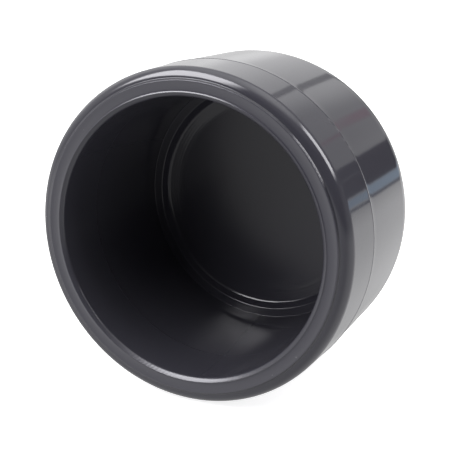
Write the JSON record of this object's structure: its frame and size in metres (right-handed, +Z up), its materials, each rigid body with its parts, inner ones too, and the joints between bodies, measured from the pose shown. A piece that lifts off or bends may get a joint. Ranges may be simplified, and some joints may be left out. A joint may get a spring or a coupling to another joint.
{
  "type": "pipe end cap",
  "caption": "Plain round end cap in dark grey plastic: a deep blind socket that is cemented over the end of a pressure pipe.",
  "frame": {"origin": "centre of the open mouth, in the plane of the flat rim face, on the socket's axis", "axes": "+Y along the socket's axis from the mouth to the closed end; +Z up with the cap lying on its side"},
  "size_m": [0.061, 0.0423, 0.061],
  "materials": {
    "grey_pvc": "injection-moulded, glossy"
  },
  "bodies": {
    "root": {"cap_moulding": "grey_pvc"}
  },
  "joints": []
}
